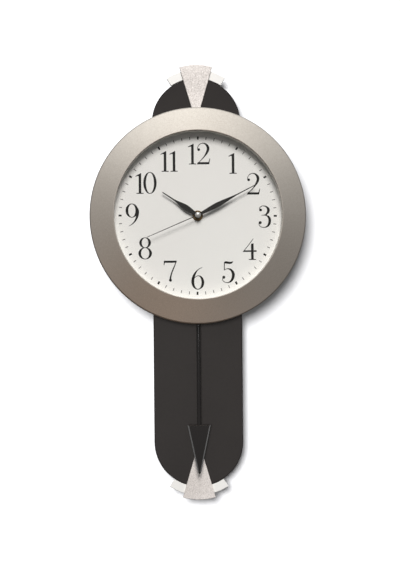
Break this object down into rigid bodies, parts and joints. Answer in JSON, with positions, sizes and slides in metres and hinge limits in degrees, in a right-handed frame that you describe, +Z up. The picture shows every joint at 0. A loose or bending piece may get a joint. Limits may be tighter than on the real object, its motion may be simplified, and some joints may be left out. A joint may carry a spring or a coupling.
{
  "type": "pendulum wall clock",
  "caption": "Quartz wall clock with a round dial under a domed metal ring, a tall round-ended backboard with finials, and a slim pendulum that swings below the ring.",
  "frame": {"origin": "centre of the round hole in the hanger plate, on the wall plane (the clock's back face)", "axes": "+Z up, +Y into the wall, the dial faces -Y, +X to the right as seen from the front; the dial's centre is 100 mm below the origin"},
  "size_m": [0.298, 0.0476, 0.6072],
  "materials": {
    "board": "matt dark paint",
    "finial": "frosted",
    "finial_bright": "satin",
    "ring": "satin",
    "case_dark": "moulded",
    "case_pan": "satin paint",
    "dial": "matt",
    "spacer": "moulded",
    "lens": "clear",
    "hands": "satin",
    "cap": "polished",
    "brass": "turned",
    "pendulum_black": "gloss",
    "steel": "plated",
    "rubber": "moulded",
    "gear_plastic": "moulded",
    "cell": "printed sleeve",
    "circuit": "lacquered",
    "copper": "enamelled wire",
    "magnet": "sintered"
  },
  "bodies": {
    "clock_case": {"backboard": "board", "hanger_plate": "steel", "hanger_screws": "steel", "upper_finial_wedge": "finial", "lower_finial_wedge": "finial", "upper_finial_arc": "finial_bright", "lower_finial_arc": "finial_bright", "finial_screws": "steel", "finial_arc_screws": "steel", "dial_case": "case_pan", "case_screws": "steel", "bezel": "ring", "bezel_screws": "steel", "lens_seal": "rubber", "lens": "lens", "spacer_ring": "spacer", "dial_plate": "dial", "movement_case_front": "case_dark", "movement_case_back": "case_dark", "movement_washer": "rubber", "centre_bush": "brass", "bush_nut": "brass", "bush_washer": "brass", "motor_stator": "steel", "motor_coil": "copper", "circuit_board": "circuit", "quartz_crystal": "steel", "battery": "cell", "battery_contacts": "steel", "pendulum_pivot_pin": "steel", "pendulum_coil": "copper"},
    "seconds": {"seconds_arbor": "gear_plastic", "seconds_hand": "hands", "seconds_cap": "cap"},
    "minute": {"minute_arbor": "gear_plastic", "minute_hand": "hands"},
    "hour": {"hour_wheel": "gear_plastic", "hour_hand": "hands"},
    "setting": {"minute_wheel": "gear_plastic", "setting_knob": "gear_plastic"},
    "third": {"third_wheel": "gear_plastic"},
    "centre": {"centre_wheel": "gear_plastic"},
    "intermediate": {"intermediate_wheel": "gear_plastic"},
    "rotor": {"motor_rotor": "magnet"},
    "pendulum": {"pendulum_hanger": "case_dark", "pendulum_magnet": "magnet", "pendulum_rod": "pendulum_black", "pendulum_bob": "pendulum_black"}
  },
  "joints": [
    {"name": "seconds_spin", "type": "hinge", "parent": "clock_case", "child": "seconds", "pos_m": [0, -0.023, -0.1], "axis": [0, 1, 0], "continuous": true},
    {"name": "minute_spin", "type": "hinge", "parent": "clock_case", "child": "minute", "pos_m": [0, -0.023, -0.1], "axis": [0, 1, 0], "continuous": true},
    {"name": "hour_spin", "type": "hinge", "parent": "clock_case", "child": "hour", "pos_m": [0, -0.023, -0.1], "axis": [0, 1, 0], "continuous": true},
    {"name": "setting_spin", "type": "hinge", "parent": "clock_case", "child": "setting", "pos_m": [0.012, -0.023, -0.1], "axis": [0, 1, 0], "continuous": true},
    {"name": "third_spin", "type": "hinge", "parent": "clock_case", "child": "third", "pos_m": [-0.011, -0.023, -0.1], "axis": [0, 1, 0], "continuous": true},
    {"name": "centre_spin", "type": "hinge", "parent": "clock_case", "child": "centre", "pos_m": [0, -0.023, -0.1], "axis": [0, 1, 0], "continuous": true},
    {"name": "intermediate_spin", "type": "hinge", "parent": "clock_case", "child": "intermediate", "pos_m": [0, -0.023, -0.089], "axis": [0, 1, 0], "continuous": true},
    {"name": "rotor_spin", "type": "hinge", "parent": "clock_case", "child": "rotor", "pos_m": [0, -0.023, -0.0818], "axis": [0, 1, 0], "continuous": true},
    {"name": "pendulum_swing", "type": "hinge", "parent": "clock_case", "child": "pendulum", "pos_m": [0, -0.02, -0.141], "axis": [0, 1, 0], "range_deg": [-8, 8]}
  ],
  "couplings": [
    {"joint": "third_spin", "follows": "seconds_spin", "ratio": -0.13333},
    {"joint": "centre_spin", "follows": "seconds_spin", "ratio": 0.016667},
    {"joint": "intermediate_spin", "follows": "seconds_spin", "ratio": -6},
    {"joint": "rotor_spin", "follows": "seconds_spin", "ratio": 30},
    {"joint": "setting_spin", "follows": "minute_spin", "ratio": -0.33333},
    {"joint": "hour_spin", "follows": "minute_spin", "ratio": 0.083333}
  ]
}
